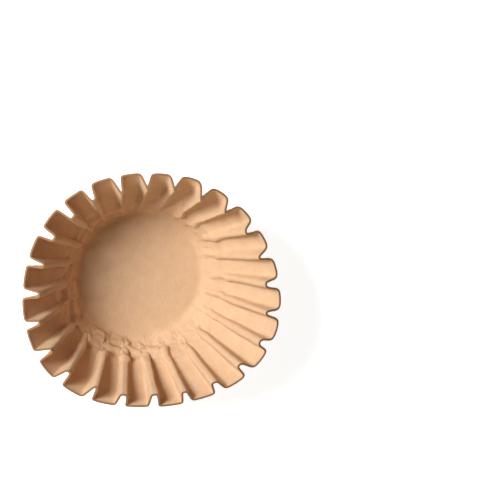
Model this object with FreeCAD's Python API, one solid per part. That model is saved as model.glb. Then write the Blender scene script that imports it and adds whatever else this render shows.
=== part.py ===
import FreeCAD, Part
import math
import os

# A basket coffee filter: one disc of paper pressed into a cup with a flat round base
# and a flaring wall.  The wall is gathered into box pleats, which are folded inwards
# and run up from the base fold, wider and deeper towards the rim.  The paper holds its
# shape by its creases alone, so the rim is a little out of round.
# Origin: middle of the base's underside, +Z up out of the cup, millimetres and degrees.

SIZES = [
    ("base_radius", 41.3, "radius of the crease between base and wall"),
    ("rim_radius", 76.6, "mean radius of the lobes at the rim, mid-sheet"),
    ("lobe_height", 55.0, "height of the rim at the lobes"),
    ("tip_rise", 4.5, "how far the pleats' tips stand above the lobes at the rim"),
    ("sheet", 0.8, "thickness of the paper"),
    ("fold_size", 3.0, "reach of the soft base fold to each side of its crease"),
    ("pleat_count", 24, "pleats round the wall"),
    ("pleat_depth", 9.0, "radial depth of a pleat at the rim"),
    ("pleat_floor", 0.23, "width of a pleat's floor, as a share of the pleats' pitch"),
    ("pleat_mouth", 0.33, "width of a pleat's mouth, as a share of the pleats' pitch"),
    ("low_level", 0.15, "a level on the wall's lower part, as a share of its slant"),
    ("middle_level", 0.4, "a level below the wall's middle, as a share of its slant"),
    ("lean", 1.7, "how far the rim leans to one side"),
    ("lean_direction", -65.0, "direction of the lean"),
    ("oval", 3.3, "how far the rim bulges to two opposite sides"),
    ("oval_direction", -11.0, "direction of one of the two bulges"),
    ("three_sided", 1.7, "how far the rim bulges to three sides"),
    ("three_sided_direction", -25.0, "direction of one of the three bulges"),
    ("four_sided", 1.3, "how far the rim bulges to four sides"),
    ("four_sided_direction", -42.0, "direction of one of the four bulges"),
    ("crowding", 2.2, "how far the pleats crowd to one side at the rim"),
    ("crowding_direction", 10.0, "direction in which they have turned furthest"),
    ("double_crowding", 1.3, "how far they crowd to two opposite sides"),
    ("double_crowding_direction", -60.0, "direction of one of the two furthest turns"),
    ("triple_crowding", 0.7, "how far they crowd to three sides"),
    ("triple_crowding_direction", -50.0, "direction of one of the three furthest turns"),
]

document = FreeCAD.newDocument("coffee_filter")
sheet = document.addObject("Spreadsheet::Sheet", "sizes")
for line, (alias, value, meaning) in enumerate(SIZES, start=1):
    sheet.set(f"A{line}", alias)
    sheet.set(f"B{line}", str(value))
    sheet.set(f"C{line}", meaning)
    sheet.setAlias(f"B{line}", alias)
document.recompute()


def size(alias):
    """A size as it stands in the sheet."""
    return float(sheet.get(alias))


# The sheet keeps its length when it folds, so both lines up the wall, a lobe's and a
# pleat's, start at the base crease and end at the rim: their slopes follow from that.
slant = math.hypot(size("rim_radius") - size("base_radius"), size("lobe_height"))
half_sheet = size("sheet") / 2
PITCH = 360 / size("pleat_count")
BULGES = [
    (1, size("lean"), size("lean_direction")),
    (2, size("oval"), size("oval_direction")),
    (3, size("three_sided"), size("three_sided_direction")),
    (4, size("four_sided"), size("four_sided_direction")),
]
TURNS = [
    (1, size("crowding"), size("crowding_direction")),
    (2, size("double_crowding"), size("double_crowding_direction")),
    (3, size("triple_crowding"), size("triple_crowding_direction")),
]


def waves(terms, angle):
    """A sum of waves round the rim, each with its number of sides, height and direction."""
    return sum(
        height * math.cos(math.radians(sides * (angle - direction)))
        for sides, height, direction in terms
    )


def wall_point(angle, depth, past_crease):
    """A point of the mid-sheet this far up the wall from the base crease.  depth is 0 on
    a lobe and 1 on a pleat's floor."""
    run = size("rim_radius") - size("base_radius") - depth * size("pleat_depth")
    rise = size("lobe_height") + depth * size("tip_rise")
    share = past_crease / slant
    radius = size("base_radius") + run * share
    radius *= 1 + waves(BULGES, angle) / size("rim_radius") * share
    turned = math.radians(angle + waves(TURNS, angle) * share)
    return FreeCAD.Vector(radius * math.cos(turned), radius * math.sin(turned), rise * share + half_sheet)


def wall_ring(past_crease):
    """The mid-sheet's corners at one level, anticlockwise: a pleat's mouth, its floor, and
    its mouth again, pleat after pleat."""
    corners = []
    for pleat in range(int(size("pleat_count"))):
        for share, depth in (
            (-size("pleat_mouth") / 2, 0),
            (-size("pleat_floor") / 2, 1),
            (size("pleat_floor") / 2, 1),
            (size("pleat_mouth") / 2, 0),
        ):
            corners.append(wall_point((pleat + share) * PITCH, depth, past_crease))
    return corners


def side_thickness():
    """Half the paper's thickness measured level, for the four sides that start at a
    pleat's four corners: two upright sides, and between them a floor and a lobe, which
    lean outwards."""
    floor_run = size("rim_radius") - size("base_radius") - size("pleat_depth")
    floor_rise = size("lobe_height") + size("tip_rise")
    lobe_run = size("rim_radius") - size("base_radius")
    floor = half_sheet * math.hypot(1, floor_run / floor_rise)
    lobe = half_sheet * math.hypot(1, lobe_run / size("lobe_height"))
    return [half_sheet, floor, half_sheet, lobe]


def skin_ring(ring, way):
    """The ring moved level to one face of the paper, way 1 outwards or -1 inwards.  Each
    corner goes to where its two moved sides meet."""
    count = len(ring)
    offsets = side_thickness()
    normals = []
    for index, corner in enumerate(ring):
        along = ring[(index + 1) % count] - corner
        length = math.hypot(along.x, along.y)
        normals.append((along.y / length, -along.x / length))
    moved = []
    for index, corner in enumerate(ring):
        before, after = normals[index - 1], normals[index]
        before_by = way * offsets[(index - 1) % len(offsets)]
        after_by = way * offsets[index % len(offsets)]
        cross = before[0] * after[1] - before[1] * after[0]
        step_x = (before_by * after[1] - after_by * before[1]) / cross
        step_y = (after_by * before[0] - before_by * after[0]) / cross
        moved.append(corner + FreeCAD.Vector(step_x, step_y, 0))
    return moved


def base_ring(height):
    """The edge of the flat base at one face of the paper, with a corner for each corner
    of the wall above it."""
    radius = size("base_radius") - size("fold_size")
    corners = []
    for corner in wall_ring(size("fold_size")):
        angle = math.atan2(corner.y, corner.x)
        corners.append(FreeCAD.Vector(radius * math.cos(angle), radius * math.sin(angle), height))
    return corners


def band(first, second):
    """Flat triangles between two rings with the same number of corners."""
    faces = []
    count = len(first)
    for index in range(count):
        after = (index + 1) % count
        for triangle in (
            (first[index], first[after], second[after]),
            (first[index], second[after], second[index]),
        ):
            faces.append(Part.Face(Part.makePolygon([*triangle, triangle[0]])))
    return faces


def disc(ring):
    """A flat face inside a ring."""
    return Part.Face(Part.makePolygon([*ring, ring[0]]))


# A pleat's sides turn edge-on mostly in the lowest part of the wall, so the two faces of
# the paper are set out again at two more levels, which keeps the paper's thickness.
levels = [size("fold_size"), size("low_level") * slant, size("middle_level") * slant, slant]
wall = [wall_ring(level) for level in levels]
under = [base_ring(0)] + [skin_ring(ring, 1) for ring in wall]
inside = [base_ring(size("sheet"))] + [skin_ring(ring, -1) for ring in wall]
faces = [disc(under[0]), disc(inside[0]), *band(under[-1], inside[-1])]
for rings in (under, inside):
    for lower, upper in zip(rings, rings[1:]):
        faces += band(lower, upper)
shell = Part.makeShell(faces)
shell.sewShape()
paper = Part.makeSolid(shell)
if paper.Volume < 0:
    paper.reverse()

filter_paper = document.addObject("Part::Feature", "filter_paper")
filter_paper.Label = "filter_paper"
filter_paper.Shape = paper
filter_paper.Placement = FreeCAD.Placement()
document.recompute()

for item in document.Objects:
    if "Invalid" in item.State or "Error" in item.State:
        raise ValueError(f"{item.Name} failed")
shape = filter_paper.Shape
if shape.isNull() or not shape.isValid() or len(shape.Solids) != 1 or shape.Volume <= 0:
    raise ValueError("the paper isn't one valid solid")

os.makedirs("parts", exist_ok=True)
shape.exportStep(os.path.join("parts", f"{filter_paper.Label}.step"))
print(filter_paper.Label, "volume", round(shape.Volume), "mm3, area", round(shape.Area), "mm2")
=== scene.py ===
import math

import bpy
from mathutils import Matrix, Vector


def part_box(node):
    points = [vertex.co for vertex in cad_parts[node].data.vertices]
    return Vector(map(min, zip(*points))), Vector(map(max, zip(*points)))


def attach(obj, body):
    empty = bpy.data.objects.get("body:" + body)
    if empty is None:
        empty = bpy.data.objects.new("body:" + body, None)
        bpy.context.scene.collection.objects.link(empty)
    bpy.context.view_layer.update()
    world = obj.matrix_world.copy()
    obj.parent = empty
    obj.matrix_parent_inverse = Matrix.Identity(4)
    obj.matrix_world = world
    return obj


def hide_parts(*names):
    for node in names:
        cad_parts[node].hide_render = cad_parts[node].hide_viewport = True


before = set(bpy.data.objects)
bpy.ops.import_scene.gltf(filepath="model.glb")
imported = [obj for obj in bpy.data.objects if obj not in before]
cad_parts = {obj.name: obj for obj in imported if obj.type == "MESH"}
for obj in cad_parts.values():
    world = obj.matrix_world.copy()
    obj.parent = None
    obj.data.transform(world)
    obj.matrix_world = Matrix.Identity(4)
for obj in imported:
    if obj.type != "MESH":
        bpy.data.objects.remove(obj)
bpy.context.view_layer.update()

# The pleated sheet
# One disc of unbleached filter paper, pressed in a fluted die into a cup: a flat base, a
# soft fold round it, and a flared wall gathered into box pleats that stand inwards.
# Nothing is glued: the creases alone hold the shape, so no two pleats are quite alike.

MM = 0.001
PAPER = 0.8 * MM
BASE_RADIUS = 41.3 * MM
RIM_RADIUS = 76.6 * MM
TIP_RISE = 4.5 * MM
LOBE_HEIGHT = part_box("filter_paper")[1].z - TIP_RISE - PAPER / 2
FOLD_SOFTNESS = 3.0 * MM

# A pleat's floor and mouth are given as half their width, in shares of the pitch.  The
# floor stays narrower than the mouth, so that no pleat closes over itself.  Half a pitch
# of the flat sheet runs from 0 at a pleat's middle to 1 at a lobe's: the floor ends at
# the first share of it, the side at the second.
PLEATS = 24
PLEAT_DEPTH = 9.0 * MM
HALF_FLOOR = 0.115
HALF_MOUTH = 0.165
WIDEST_FLOOR = 0.76
FLOOR_END = 0.16
SIDE_END = 0.62

# The rim's chance departure from a circle: how many waves go round it, how high they are
# and where the first one peaks; then the same for how far it is turned.
RIM_WAVES = [
    (1, 1.7 * MM, math.radians(-65)),
    (2, 3.3 * MM, math.radians(-11)),
    (3, 1.7 * MM, math.radians(-25)),
    (4, 1.3 * MM, math.radians(-42)),
]
RIM_TURNS = [
    (1, math.radians(2.2), math.radians(10)),
    (2, math.radians(1.3), math.radians(-60)),
    (3, math.radians(0.7), math.radians(-50)),
]

# Stretches of the wall that differ from the rest, each as the direction of its middle
# and its reach to each side, in degrees.
NIPPED = (78.0, 62.0)
SOFTLY_FOLDED = (16.0, 104.0)
CRUMPLED = (-150.0, 125.0)
RIDGES_START_HIGH = (-122.0, 88.0)

# How far the crumples, the kinks, the ridges' wander and the wall's slack go, and how
# fine they are, in waves to the metre.
CRUMPLE = 1.6 * MM
KINK = 1.2 * MM
WANDER = 1.3 * MM
SLACK = 1.6 * MM
CREASE_WAVES = 95.0
FACET_WAVES = 78.0
RUFFLE_WAVES = 330.0
KINK_WAVES = 60.0
WANDER_WAVES = 90.0
SLACK_WAVES = 55.0

# Blur steps across a crisp fold and across a soft one.
CRISP = 1
SOFT = 11

# The seed, and what is added to it for each random draw.
SEED = 4
FLOOR_DRAW = 0
MOUTH_DRAW = 1
LEAN_DRAW = 2
DEPTH_DRAW = 3
START_DRAW = 5
RIDGE_KINK_DRAW = 10
LOBE_KINK_DRAW = 20

# The grid: columns across a pleat, and rows on the base, near its fold and up the wall.
# One more row makes the strip along the cut edge.
COLUMNS_PER_PLEAT = 32
BASE_ROWS = 6
FOLD_ROWS = 36
WALL_ROWS = 12
FINE_ROWS_START = -4.0 * MM
FINE_ROWS_END = 31.0 * MM
EDGE = 1.6 * MM
SAME_POINT = 0.005 * MM


class Nodes:
    """A short way to write node trees: most methods add one node and return its output."""

    def __init__(self, tree):
        self.tree = tree

    def add(self, kind, **settings):
        node = self.tree.nodes.new(kind)
        for name, value in settings.items():
            setattr(node, name, value)
        return node

    def feed(self, socket, value):
        if isinstance(value, bpy.types.NodeSocket):
            self.tree.links.new(value, socket)
        else:
            socket.default_value = value

    def math(self, operation, *values):
        node = self.add("ShaderNodeMath", operation=operation)
        for socket, value in zip(node.inputs, values):
            self.feed(socket, value)
        return node.outputs[0]

    def plus(self, *values):
        total = values[0]
        for value in values[1:]:
            total = self.math("ADD", total, value)
        return total

    def times(self, *values):
        product = values[0]
        for value in values[1:]:
            product = self.math("MULTIPLY", product, value)
        return product

    def minus(self, value, other):
        return self.math("SUBTRACT", value, other)

    def ramp(self, value, from_low, from_high, to_low=0.0, to_high=1.0, kind="LINEAR"):
        node = self.add("ShaderNodeMapRange", interpolation_type=kind)
        for socket, item in zip(node.inputs, (value, from_low, from_high, to_low, to_high)):
            self.feed(socket, item)
        return node.outputs[0]

    def smooth(self, value, from_low, from_high, to_low=0.0, to_high=1.0):
        return self.ramp(value, from_low, from_high, to_low, to_high, kind="SMOOTHSTEP")

    def vector(self, x=0.0, y=0.0, z=0.0):
        node = self.add("ShaderNodeCombineXYZ")
        for socket, value in zip(node.inputs, (x, y, z)):
            self.feed(socket, value)
        return node.outputs[0]

    def split(self, vector):
        node = self.add("ShaderNodeSeparateXYZ")
        self.feed(node.inputs[0], vector)
        return node.outputs

    def noise(self, vector, scale, detail=2.0, roughness=0.5):
        """Smooth noise, mostly from -0.25 to 0.25, with its scale in waves to the metre."""
        node = self.add("ShaderNodeTexNoise")
        self.feed(node.inputs["Vector"], vector)
        self.feed(node.inputs["Scale"], scale)
        self.feed(node.inputs["Detail"], detail)
        self.feed(node.inputs["Roughness"], roughness)
        return self.minus(node.outputs["Fac"], 0.5)


class GeometryNodes(Nodes):
    """The same for geometry: named inputs, random numbers and attributes."""

    def __init__(self, name):
        super().__init__(bpy.data.node_groups.new(name, "GeometryNodeTree"))
        self.tree.is_modifier = True
        self.settings = {}
        self.source = self.add("NodeGroupInput")

    def input(self, name, value):
        """A named input of the tree, for a whole number or for a measure."""
        kind = "NodeSocketInt" if isinstance(value, int) else "NodeSocketFloat"
        socket = self.tree.interface.new_socket(name, in_out="INPUT", socket_type=kind)
        self.settings[socket.identifier] = value
        return self.source.outputs[name]

    def random(self, low, high, number, seed, draw):
        """A number between low and high that depends on a whole number and a seed."""
        node = self.add("FunctionNodeRandomValue", data_type="FLOAT")
        self.feed(node.inputs[2], low)
        self.feed(node.inputs[3], high)
        self.feed(node.inputs["ID"], number)
        self.feed(node.inputs["Seed"], self.plus(seed, float(draw)))
        return node.outputs[1]

    def towards(self, angle, direction, reach):
        """1 towards a direction, falling to 0 this many degrees to each side of it."""
        near = self.math("COSINE", self.minus(angle, math.radians(direction)))
        return self.smooth(near, math.cos(math.radians(reach)), 1.0)

    def polar(self, radius, angle, height=0.0):
        return self.vector(
            self.times(radius, self.math("COSINE", angle)),
            self.times(radius, self.math("SINE", angle)),
            height,
        )

    def store(self, geometry, name, value):
        node = self.add("GeometryNodeStoreNamedAttribute", data_type="FLOAT_VECTOR", domain="POINT")
        self.feed(node.inputs["Geometry"], geometry)
        self.feed(node.inputs["Name"], name)
        self.feed(node.inputs["Value"], value)
        return node.outputs["Geometry"]

    def stored(self, name):
        node = self.add("GeometryNodeInputNamedAttribute", data_type="FLOAT_VECTOR")
        self.feed(node.inputs["Name"], name)
        return node.outputs["Attribute"]

    def blurred(self, value, iterations):
        node = self.add("GeometryNodeBlurAttribute", data_type="FLOAT_VECTOR")
        self.feed(node.inputs["Value"], value)
        self.feed(node.inputs["Iterations"], iterations)
        return node.outputs["Value"]

    def between(self, first, second, share):
        """A vector between two others."""
        node = self.add("ShaderNodeMix", data_type="VECTOR")
        self.feed(node.inputs["Factor"], share)
        self.feed(node.inputs[4], first)
        self.feed(node.inputs[5], second)
        return node.outputs[1]

    def placed(self, geometry, socket_name, value):
        """The geometry with new positions, or moved by an offset."""
        node = self.add("GeometryNodeSetPosition")
        self.feed(node.inputs["Geometry"], geometry)
        self.feed(node.inputs[socket_name], value)
        return node.outputs["Geometry"]

    def finish(self, geometry, material):
        realized = self.add("GeometryNodeRealizeInstances")
        self.feed(realized.inputs[0], geometry)
        painted = self.add("GeometryNodeSetMaterial")
        self.feed(painted.inputs["Geometry"], realized.outputs[0])
        self.feed(painted.inputs["Material"], material)
        self.tree.interface.new_socket("Geometry", in_out="OUTPUT", socket_type="NodeSocketGeometry")
        result = self.add("NodeGroupOutput")
        self.feed(result.inputs[0], painted.outputs[0])


class SheetNodes(GeometryNodes):
    """The tree that makes the whole sheet as one surface without thickness, one method for
    each step of its making.  It starts as a tube of rows and columns: a row is a ring on
    the flat disc, a column a ray from its middle."""

    def __init__(self, material):
        super().__init__("pleated_sheet")
        self.base_radius = self.input("Base radius", BASE_RADIUS)
        self.rim_radius = self.input("Rim radius", RIM_RADIUS)
        self.lobe_height = self.input("Lobe height", LOBE_HEIGHT)
        self.tip_rise = self.input("Tip rise", TIP_RISE)
        self.pleat_depth = self.input("Pleat depth", PLEAT_DEPTH)
        self.pleats = self.input("Pleats", PLEATS)
        self.columns_per_pleat = self.input("Columns per pleat", COLUMNS_PER_PLEAT)
        self.half_floor = self.input("Pleat floor, half, share of pitch", HALF_FLOOR)
        self.half_mouth = self.input("Pleat mouth, half, share of pitch", HALF_MOUTH)
        self.fold_softness = self.input("Fold softness", FOLD_SOFTNESS)
        self.half_sheet = self.input("Half sheet", PAPER / 2)
        self.crumple = self.input("Crumple", CRUMPLE)
        self.kink = self.input("Kink", KINK)
        self.wander = self.input("Wander of the ridges", WANDER)
        self.seed = self.input("Seed", SEED)
        geometry = self.flat_disc()
        geometry = self.pleat_sections(geometry)
        self.base_fold()
        self.ridges()
        geometry = self.raised_wall(geometry)
        geometry = self.crumpled_sheet(geometry)
        self.finish(geometry, material)

    def flat_disc(self):
        """The grid, each point's distance from the disc's middle, and its place in its
        pleat: across runs from -1 to 1, out from 0 at the pleat's middle to 1 at the lobe's."""
        rows = float(BASE_ROWS + FOLD_ROWS + WALL_ROWS + 1)
        edge_row = rows - 1.0
        fold_row = float(BASE_ROWS + FOLD_ROWS)
        columns = self.times(self.pleats, self.columns_per_pleat)
        tube = self.add("GeometryNodeMeshCylinder", fill_type="NONE")
        self.feed(tube.inputs["Vertices"], columns)
        self.feed(tube.inputs["Side Segments"], int(rows))
        index = self.add("GeometryNodeInputIndex").outputs[0]
        column = self.math("MODULO", index, columns)
        row = self.math("FLOOR", self.math("DIVIDE", self.plus(index, 0.5), columns))

        self.run = self.minus(self.rim_radius, self.base_radius)
        self.slant = self.math("SQRT", self.plus(
            self.times(self.run, self.run),
            self.times(self.lobe_height, self.lobe_height),
        ))
        fine_start = self.plus(self.base_radius, FINE_ROWS_START)
        fine_end = self.plus(self.base_radius, FINE_ROWS_END)
        edge_start = self.minus(self.plus(self.base_radius, self.slant), EDGE)
        self.distance = self.plus(
            self.ramp(row, 0.0, float(BASE_ROWS), 0.0, fine_start),
            self.ramp(row, float(BASE_ROWS), fold_row, 0.0, self.minus(fine_end, fine_start)),
            self.ramp(row, fold_row, edge_row, 0.0, self.minus(edge_start, fine_end)),
            self.ramp(row, edge_row, rows, 0.0, EDGE),
        )

        self.place = self.math("DIVIDE", column, self.columns_per_pleat)
        self.number = self.math("FLOOR", self.place)
        self.across = self.minus(self.times(self.math("FRACT", self.place), 2.0), 1.0)
        self.out = self.math("ABSOLUTE", self.across)
        self.flat_angle = self.round_angle(self.minus(self.place, 0.5))
        self.round_spot = self.polar(1.0, self.flat_angle)
        self.wall_spot = self.polar(self.base_radius, self.flat_angle, self.distance)
        flat_spot = self.polar(self.distance, self.flat_angle)
        geometry = self.store(tube.outputs["Mesh"], "flat_sheet", flat_spot)
        return self.store(geometry, "at_edge", self.vector(self.ramp(row, edge_row, rows)))

    def round_angle(self, place):
        """The angle round the cup of a place that is counted in pleats."""
        return self.times(self.math("DIVIDE", place, self.pleats), 2.0 * math.pi)

    def own(self, low, high, draw):
        """A random number of each pleat's own."""
        return self.random(low, high, self.number, self.seed, draw)

    def pleat_sections(self, geometry):
        """The section of each pleat: floor, side and land, each a straight stretch, with
        rounded folds between them.  Where the wall is nipped, a pleat is a narrow V."""
        self.nipped = self.towards(self.round_angle(self.number), *NIPPED)
        own_mouth = self.times(
            self.half_mouth, self.own(0.85, 1.15, MOUTH_DRAW), self.ramp(self.nipped, 0.0, 1.0, 1.0, 1.08)
        )
        own_floor = self.times(
            self.half_floor, self.own(0.55, 1.35, FLOOR_DRAW), self.ramp(self.nipped, 0.0, 1.0, 1.0, 0.15)
        )
        own_floor = self.math("MINIMUM", own_floor, self.times(own_mouth, WIDEST_FLOOR))
        in_side = self.ramp(self.out, FLOOR_END, SIDE_END)
        offset = self.plus(
            self.times(self.ramp(self.out, 0.0, FLOOR_END), own_floor),
            self.times(in_side, self.minus(own_mouth, own_floor)),
            self.times(self.ramp(self.out, SIDE_END, 1.0), self.minus(0.5, own_mouth)),
        )
        depth = self.minus(1.0, in_side)
        lean = self.times(self.own(-0.03, 0.03, LEAN_DRAW), depth)
        side = self.math("SIGN", self.across)
        shift = self.plus(self.times(offset, side), lean, self.times(self.across, -0.5))
        own_depth = self.plus(self.own(0.84, 1.06, DEPTH_DRAW), self.times(self.nipped, 0.16))
        section = self.vector(shift, self.times(depth, own_depth), 0.0)

        softness = self.plus(
            self.times(self.towards(self.flat_angle, *SOFTLY_FOLDED), 0.95),
            self.ramp(self.noise(self.round_spot, 3.0), -0.2, 0.2, 0.0, 0.2),
        )
        folded = self.between(self.blurred(section, CRISP), self.blurred(section, SOFT), softness)
        geometry = self.store(geometry, "section", folded)
        self.shift, self.depth, _ = self.split(self.stored("section"))
        return geometry

    def base_fold(self):
        """How far a point lies past the fold round the base, which isn't an even circle,
        and how far it has risen up the wall."""
        unevenness = self.times(self.noise(self.round_spot, 4.0), 3.0 * MM)
        self.past_base = self.minus(self.minus(self.distance, self.base_radius), unevenness)
        self.up_wall = self.ramp(self.past_base, 0.0, self.slant)
        self.low_wall = self.smooth(self.past_base, 14.0 * MM, 38.0 * MM, 1.0, 0.0)
        self.crumpled = self.plus(self.times(self.towards(self.flat_angle, *CRUMPLED), 0.75), 0.35)
        softness = self.times(self.fold_softness, self.plus(self.crumpled, 0.9))
        in_fold = self.ramp(self.past_base, self.times(softness, -1.0), softness)
        self.risen = self.plus(
            self.times(in_fold, in_fold, softness),
            self.math("MAXIMUM", self.minus(self.past_base, softness), 0.0),
        )

    def ridges(self):
        """The ridges fade in low on the wall, each at its own height, and wander there."""
        self.ridge_starts = self.plus(
            self.ramp(self.noise(self.round_spot, 9.0), -0.18, 0.18, 0.0, 7.0 * MM),
            self.times(self.towards(self.flat_angle, *RIDGES_START_HIGH), 13.0 * MM),
        )
        self.own_start = self.plus(
            self.ridge_starts,
            self.own(-3.0 * MM, 3.5 * MM, START_DRAW),
            self.times(self.nipped, -4.0 * MM),
        )
        own_run_in = self.plus(self.times(self.nipped, 12.0 * MM), 8.0 * MM)
        ridge = self.smooth(self.past_base, self.own_start, self.plus(self.own_start, own_run_in))
        self.depth = self.times(self.depth, ridge)
        self.shift = self.times(self.shift, self.smooth(self.past_base, -3.0 * MM, 2.0 * MM))
        wandering = self.noise(self.wall_spot, WANDER_WAVES, 1.0)
        sideways = self.times(wandering, self.wander, 4.0, self.low_wall, ridge)
        place = self.plus(self.minus(self.place, 0.5), self.shift)
        self.angle = self.plus(self.round_angle(place), self.math("DIVIDE", sideways, self.base_radius))

    def raised_wall(self, geometry):
        """The sheet runs between two lines, up a lobe and up a pleat's floor.  The rim is
        out of round and turned a little, more so the further up the wall."""
        own_run = self.minus(self.run, self.times(self.depth, self.pleat_depth))
        own_height = self.plus(self.lobe_height, self.times(self.depth, self.tip_rise))
        outwards = self.math("DIVIDE", own_run, self.slant)
        upwards = self.math("DIVIDE", own_height, self.slant)
        radius = self.plus(self.minus(self.distance, self.risen), self.times(self.risen, outwards))
        height = self.plus(self.times(self.risen, upwards), self.half_sheet)
        out_of_round = 1.0
        for order, amount, direction in RIM_WAVES:
            wave = self.math("COSINE", self.times(self.minus(self.angle, direction), float(order)))
            out_of_round = self.plus(self.times(wave, amount / RIM_RADIUS, self.up_wall), out_of_round)
        turned = self.angle
        for order, amount, direction in RIM_TURNS:
            wave = self.math("COSINE", self.times(self.minus(self.angle, direction), float(order)))
            turned = self.plus(turned, self.times(wave, amount, self.up_wall))
        spot = self.polar(self.times(radius, out_of_round), turned, height)
        return self.placed(geometry, "Position", spot)

    def creases(self):
        """Creased facets just above the base fold."""
        above_fold = self.smooth(self.past_base, 0.0, 9.0 * MM)
        warp = self.vector(
            self.times(self.noise(self.wall_spot, 130.0), 12.0 * MM),
            self.times(self.noise(self.wall_spot, 110.0), 12.0 * MM),
            self.times(self.noise(self.wall_spot, 90.0), 12.0 * MM),
        )
        warped = self.add("ShaderNodeVectorMath", operation="ADD")
        self.feed(warped.inputs[0], self.wall_spot)
        self.feed(warped.inputs[1], warp)
        facets = self.add("ShaderNodeTexVoronoi", feature="F1")
        self.feed(facets.inputs["Vector"], warped.outputs[0])
        self.feed(facets.inputs["Scale"], FACET_WAVES)
        creased = self.plus(
            self.times(self.math("ABSOLUTE", self.noise(self.wall_spot, CREASE_WAVES, 1.5)), 5.5),
            self.times(facets.outputs["Distance"], 3.4),
            -1.9,
        )
        return self.times(creased, self.crumple, self.crumpled, above_fold, self.low_wall)

    def kinks(self):
        """One kink across the foot of each ridge and one across the foot of each lobe."""
        out_squared = self.times(self.out, self.out)
        lobe_number = self.math("FLOOR", self.plus(self.place, 0.5))
        off_base = self.smooth(self.past_base, 0.0, 4.0 * MM)
        wobble = self.times(self.noise(self.wall_spot, KINK_WAVES, 1.0), 30.0 * MM)
        kinks = []
        for number, start, weight, draw in (
            (self.number, self.own_start, self.minus(1.0, out_squared), RIDGE_KINK_DRAW),
            (lobe_number, self.ridge_starts, out_squared, LOBE_KINK_DRAW),
        ):
            crest = self.plus(start, self.random(-1.0 * MM, 5.0 * MM, number, self.seed, draw), wobble)
            off_crest = self.math("ABSOLUTE", self.minus(self.past_base, crest))
            near_crest = self.ramp(off_crest, 0.0, 3.2 * MM, 1.0, 0.0)
            strength = self.times(
                self.random(-1.0, 0.6, number, self.seed, draw + 1), self.kink, self.crumpled, off_base
            )
            kinks.append(self.times(near_crest, weight, strength))
        return self.plus(*kinks)

    def ruffles(self):
        """Small ruffles that run up the wall from the base fold."""
        spot = self.polar(self.base_radius, self.flat_angle, self.times(self.distance, 0.22))
        ridged = self.math("ABSOLUTE", self.noise(spot, RUFFLE_WAVES, 1.0))
        ruffle = self.minus(self.times(ridged, 4.0), 0.4)
        above_fold = self.smooth(self.past_base, 0.0, 9.0 * MM)
        near_fold = self.times(above_fold, self.smooth(self.past_base, 8.0 * MM, 20.0 * MM, 1.0, 0.0))
        return self.times(ruffle, self.crumple, 0.4, near_fold)

    def slack(self):
        """The whole wall gives a little, as a limp sheet does."""
        off_base = self.ramp(self.past_base, 2.0 * MM, 14.0 * MM)
        return self.times(self.noise(self.wall_spot, SLACK_WAVES, 1.0), SLACK, off_base)

    def crumpled_sheet(self, geometry):
        """Everything that pushes the sheet in or out, along its normal.  Last, the tube's
        first ring, which has shrunk to the disc's middle, becomes one point."""
        distance = self.plus(self.creases(), self.kinks(), self.ruffles(), self.slack())
        push = self.add("ShaderNodeVectorMath", operation="SCALE")
        self.feed(push.inputs[0], self.add("GeometryNodeInputNormal").outputs[0])
        self.feed(push.inputs["Scale"], distance)
        geometry = self.placed(geometry, "Offset", push.outputs[0])
        closed = self.add("GeometryNodeMergeByDistance")
        self.feed(closed.inputs["Geometry"], geometry)
        self.feed(closed.inputs["Distance"], SAME_POINT)
        return closed.outputs["Geometry"]


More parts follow.
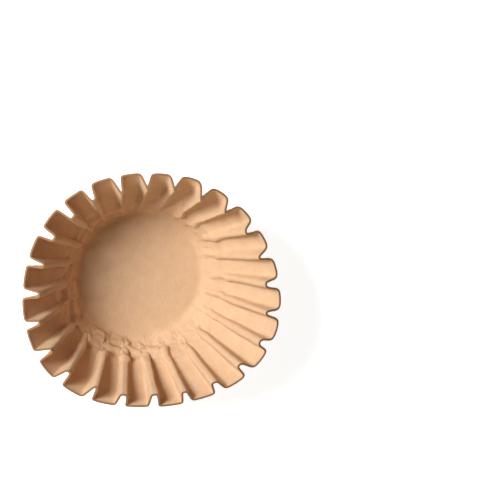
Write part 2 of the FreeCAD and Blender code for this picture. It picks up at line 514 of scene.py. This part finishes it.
def paper_material():
    """Unbleached paper: matt, warm brown, cloudy where the fibres lie thicker, with fine
    fibres that run mostly along the web the disc was cut from.  Its cut edge strip is painted
    darker brown: partly the paper's own browner cut edge, partly painted shade for the dark
    line along the edge's shaded side."""
    thin_paper = (0.60, 0.372, 0.205, 1.0)
    plain_paper = (0.745, 0.503, 0.308, 1.0)
    thick_paper = (0.835, 0.603, 0.400, 1.0)
    # Cut edge colour: partly the paper's browner edge, partly painted shade for the edge's dark shaded
    # line.
    cut_edge_with_painted_shade = (0.34, 0.175, 0.088, 1.0)
    cloud_waves, flock_waves, streak_waves, fibre_waves = 130.0, 900.0, 1700.0, 2600.0
    stretched = 0.14
    material = bpy.data.materials.new("filter paper")
    material.use_nodes = True
    n = Nodes(material.node_tree)
    shader = material.node_tree.nodes["Principled BSDF"]
    flat = n.add("ShaderNodeAttribute", attribute_name="flat_sheet").outputs["Vector"]
    x, y, _ = n.split(flat)
    along_web = n.vector(x, n.times(y, stretched), 0.0)
    clouds = n.noise(flat, cloud_waves, 3.0, 0.55)
    flocks = n.noise(flat, flock_waves, 3.0, 0.6)
    streaks = n.noise(along_web, streak_waves, 2.0, 0.6)
    fibre_lines = n.add("ShaderNodeTexNoise")
    n.feed(fibre_lines.inputs["Vector"], along_web)
    n.feed(fibre_lines.inputs["Scale"], fibre_waves)
    n.feed(fibre_lines.inputs["Distortion"], 1.5)
    dark_fibres = n.ramp(fibre_lines.outputs["Fac"], 0.66, 0.74)
    tone = n.plus(
        n.times(clouds, 0.22),
        n.times(flocks, 0.16),
        n.times(streaks, 0.22),
        n.times(dark_fibres, -0.10),
        0.5,
    )
    colour = n.add("ShaderNodeValToRGB")
    n.feed(colour.inputs["Fac"], tone)
    stops = colour.color_ramp.elements
    stops[0].position, stops[0].color = 0.30, thin_paper
    stops[1].position, stops[1].color = 0.70, thick_paper
    stops.new(0.5).color = plain_paper
    at_edge = n.split(n.add("ShaderNodeAttribute", attribute_name="at_edge").outputs["Vector"])[0]
    # Darkens the strip along the cut edge: partly its own browner colour, partly painted shade.
    edge_brown_and_painted_shade = n.add("ShaderNodeMix", data_type="RGBA")
    n.feed(edge_brown_and_painted_shade.inputs["Factor"], n.ramp(at_edge, 0.40, 0.95, 0.0, 0.95))
    n.feed(edge_brown_and_painted_shade.inputs[6], colour.outputs["Color"])
    n.feed(edge_brown_and_painted_shade.inputs[7], cut_edge_with_painted_shade)
    n.feed(shader.inputs["Base Color"], edge_brown_and_painted_shade.outputs[2])
    n.feed(shader.inputs["Roughness"], n.ramp(streaks, -0.3, 0.3, 0.78, 0.95))
    shader.inputs["Specular IOR Level"].default_value = 0.25
    shader.inputs["Subsurface Weight"].default_value = 0.2
    shader.inputs["Subsurface Radius"].default_value = (1.0, 0.4, 0.15)
    shader.inputs["Subsurface Scale"].default_value = 1.5 * MM
    relief = n.plus(
        n.times(streaks, 0.8),
        n.times(flocks, 0.9),
        n.times(clouds, 0.5),
        n.times(dark_fibres, 0.25),
    )
    bump = n.add("ShaderNodeBump")
    bump.inputs["Distance"].default_value = 0.12 * MM
    bump.inputs["Strength"].default_value = 0.7
    n.feed(bump.inputs["Height"], relief)
    n.feed(shader.inputs["Normal"], bump.outputs[0])
    return material


def pressed_sheet():
    """The sheet with its thickness, as a plain mesh."""
    nodes = SheetNodes(paper_material())
    start = bpy.data.objects.new("sheet_start", bpy.data.meshes.new("sheet_start"))
    bpy.context.scene.collection.objects.link(start)
    modifier = start.modifiers.new("sheet", "NODES")
    modifier.node_group = nodes.tree
    for identifier, value in nodes.settings.items():
        modifier[identifier] = value
    wall = start.modifiers.new("thickness", "SOLIDIFY")
    wall.thickness = PAPER
    wall.offset = 0.0
    evaluated = start.evaluated_get(bpy.context.evaluated_depsgraph_get())
    mesh = bpy.data.meshes.new_from_object(evaluated)
    mesh.name = "pleated_paper"
    bpy.data.objects.remove(start)
    return mesh


def swell_cut_edge(mesh, share):
    """The die leaves the cut edge a little swollen: there each face stands further out,
    by a share of the thickness.  The mesh has the points of one face first, then those
    of the other."""
    half = len(mesh.vertices) // 2
    at_edge = mesh.attributes["at_edge"].data
    for index in range(half):
        if at_edge[index].vector.x > 0.5:
            one, other = mesh.vertices[index], mesh.vertices[index + half]
            swell = (one.co - other.co) * share
            one.co += swell
            other.co -= swell


EDGE_SWELL = 0.3
SHARPEST_SMOOTH_FOLD = math.radians(60)
paper_mesh = pressed_sheet()
swell_cut_edge(paper_mesh, EDGE_SWELL)
for polygon in paper_mesh.polygons:
    polygon.use_smooth = True
paper_mesh.set_sharp_from_angle(angle=SHARPEST_SMOOTH_FOLD)
paper = bpy.data.objects.new("pleated_paper", paper_mesh)
bpy.context.scene.collection.objects.link(paper)
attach(paper, "root")
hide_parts("filter_paper")

# The floor, lamps and camera
# A plain white floor, one large soft lamp from the upper left, a weaker and warmer one
# from the front, and a long view down into the cup.

FLOOR_HALF = 3.0
FLOOR_COLOUR = (0.9, 0.9, 0.9, 1.0)
FLOOR_GLOW = 0.82
SHADE_LIGHT = 0.06
LAMPS_AIM = (0, 0, 0.03)


def seen(nodes):
    """1 for a ray that shows the background itself, 0 for one that carries its light."""
    path = nodes.add("ShaderNodeLightPath").outputs
    mirrored = nodes.math("MAXIMUM", path["Is Glossy Ray"], path["Is Transmission Ray"])
    return nodes.math("MAXIMUM", path["Is Camera Ray"], mirrored)


def white_floor():
    corners = [(-1, -1), (1, -1), (1, 1), (-1, 1)]
    mesh = bpy.data.meshes.new("floor")
    mesh.from_pydata([(x * FLOOR_HALF, y * FLOOR_HALF, 0) for x, y in corners], [], [(0, 1, 2, 3)])
    floor = bpy.data.objects.new("floor", mesh)
    bpy.context.scene.collection.objects.link(floor)
    material = bpy.data.materials.new("white floor")
    material.use_nodes = True
    nodes = Nodes(material.node_tree)
    shader = material.node_tree.nodes["Principled BSDF"]
    shader.inputs["Base Color"].default_value = FLOOR_COLOUR
    shader.inputs["Roughness"].default_value = 0.9
    shader.inputs["Emission Color"].default_value = (1, 1, 1, 1)
    nodes.feed(shader.inputs["Emission Strength"], nodes.times(seen(nodes), FLOOR_GLOW))
    mesh.materials.append(material)
    return floor


def lamp(name, place, size, power, colour):
    light = bpy.data.lights.new(name, "AREA")
    light.shape = "DISK"
    light.size = size
    light.energy = power
    light.color = colour
    item = bpy.data.objects.new(name, light)
    item.location = place
    item.rotation_euler = (Vector(LAMPS_AIM) - Vector(place)).to_track_quat("-Z", "Y").to_euler()
    bpy.context.scene.collection.objects.link(item)


white_floor()
lamp("key lamp", (-0.76, 0.40, 0.825), 0.52, 16.9, (1.0, 1.0, 1.0))
lamp("front fill", (-0.25, -1.05, 0.42), 0.8, 2.7, (1.0, 0.90, 0.68))

world = bpy.data.worlds.new("studio")
bpy.context.scene.world = world
world.use_nodes = True
world_nodes = Nodes(world.node_tree)
background = world.node_tree.nodes["Background"]
background.inputs["Color"].default_value = (1, 1, 1, 1)
world_light = world_nodes.ramp(seen(world_nodes), 0.0, 1.0, SHADE_LIGHT, 1.0)
world_nodes.feed(background.inputs["Strength"], world_light)

EYE = Vector((-0.1145, 0.1699, 0.8854))
AIM = Vector((0.0605, 0.0251, 0.030))
LENS = 105.0
SENSOR = 36.0
ROLL = math.radians(-0.65)
camera_data = bpy.data.cameras.new("camera")
camera_data.lens = LENS
camera_data.sensor_width = SENSOR
camera = bpy.data.objects.new("camera", camera_data)
ahead = (AIM - EYE).normalized()
right = ahead.cross(Vector((0, 1, 0))).normalized()
turn = Matrix((right, right.cross(ahead), -ahead)).transposed() @ Matrix.Rotation(ROLL, 3, "Z")
camera.matrix_world = Matrix.LocRotScale(EYE, turn, None)
bpy.context.scene.collection.objects.link(camera)
bpy.context.scene.camera = camera
bpy.context.scene.view_settings.view_transform = "Standard"
